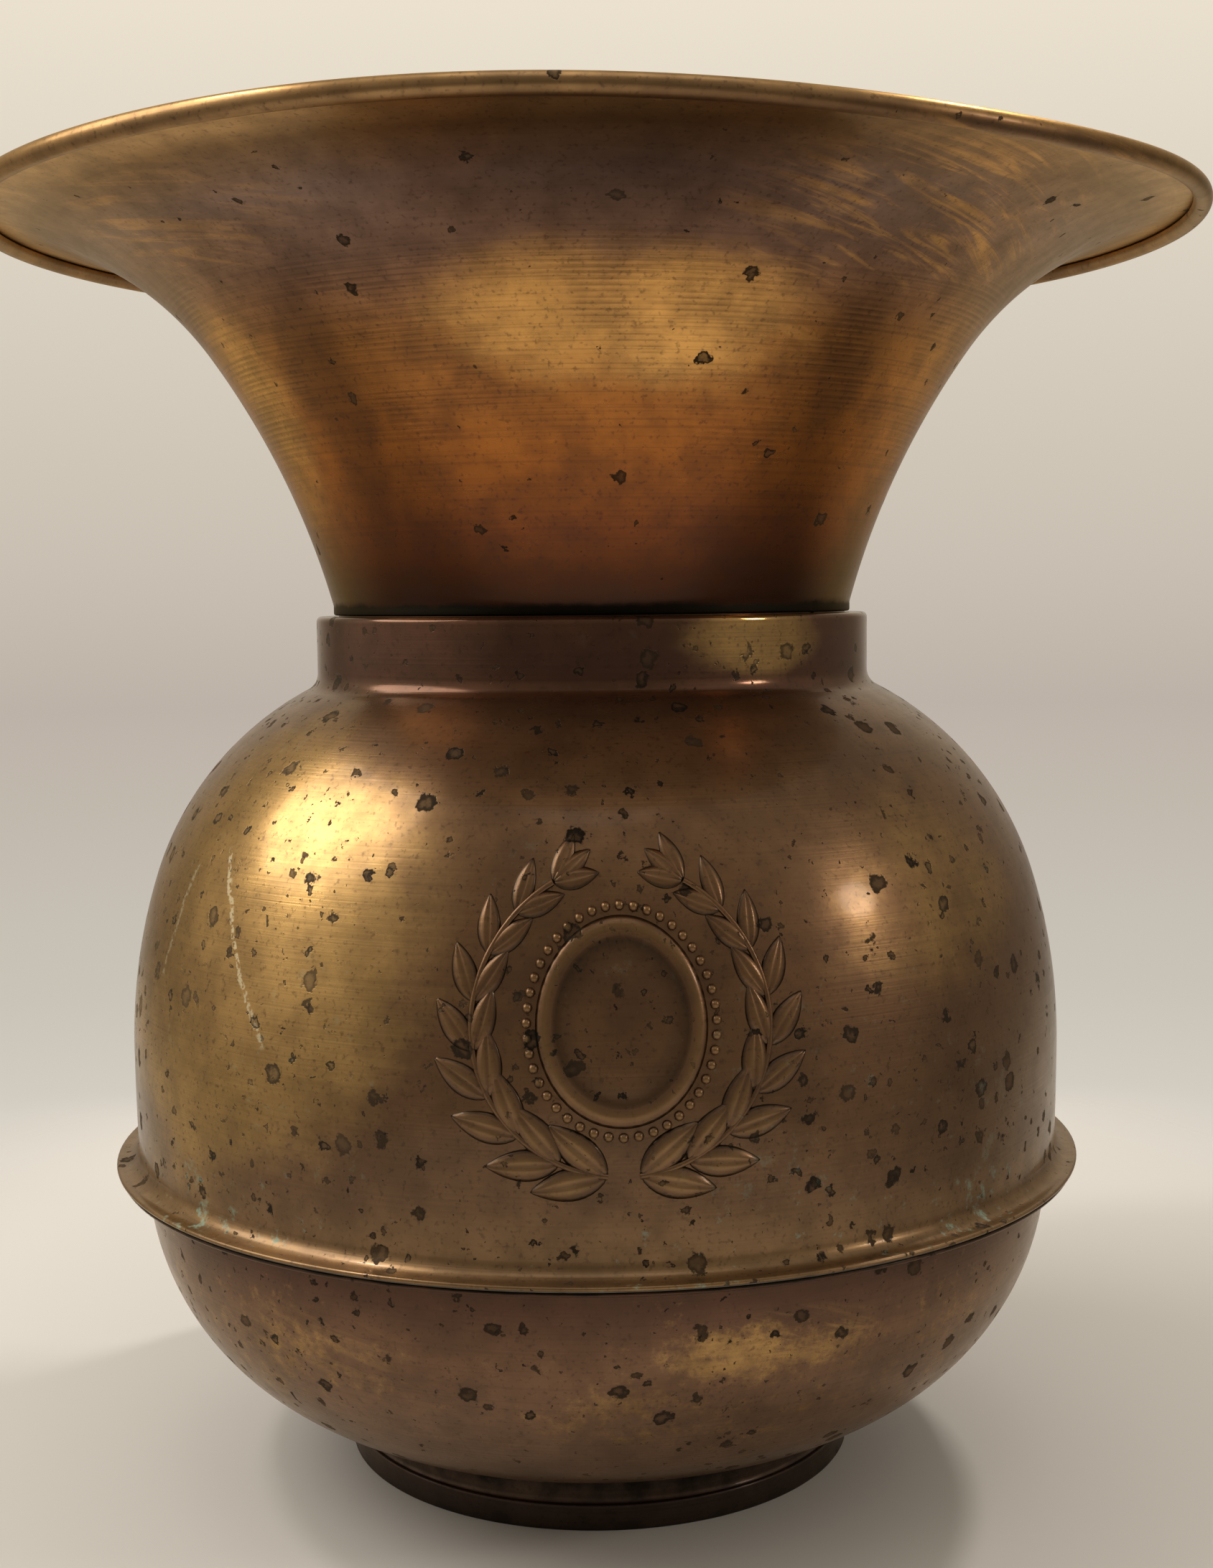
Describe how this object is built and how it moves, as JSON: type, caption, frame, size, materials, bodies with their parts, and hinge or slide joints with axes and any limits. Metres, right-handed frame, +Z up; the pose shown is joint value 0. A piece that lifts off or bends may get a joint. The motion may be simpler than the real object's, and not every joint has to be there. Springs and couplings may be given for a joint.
{
  "type": "brass spittoon",
  "caption": "Round spun-metal spittoon: a wide trumpet funnel with a rolled rim lifts out of the collar of a full-bellied vessel on a short foot ring.",
  "frame": {"origin": "middle of the foot ring, on the surface that it stands on", "axes": "+Z up along the axis that every piece is round about, -Y towards the side with the ornament"},
  "size_m": [0.259, 0.259, 0.267],
  "materials": {
    "funnel_brass": "satin, tarnished, with spinning lines",
    "sleeve_brass": "dull, stained",
    "body_brass": "satin, tarnished brown with dark spots",
    "bowl_brass": "satin, tarnished with rubbed patches",
    "foot_brass": "dull, almost black with grime",
    "rim_steel": "drawn wire",
    "solder": "dull grey"
  },
  "bodies": {
    "vessel": {"body_shell": "body_brass", "bowl": "bowl_brass", "seam_solder": "solder", "foot_ring": "foot_brass", "foot_solder": "solder"},
    "top": {"funnel": "funnel_brass", "rim_wire": "rim_steel", "spigot_sleeve": "sleeve_brass", "spigot_solder": "solder"}
  },
  "joints": [
    {"name": "funnel_lift", "type": "slide", "parent": "vessel", "child": "top", "axis": [0, 0, 1], "range_m": [0, 0.04]}
  ]
}
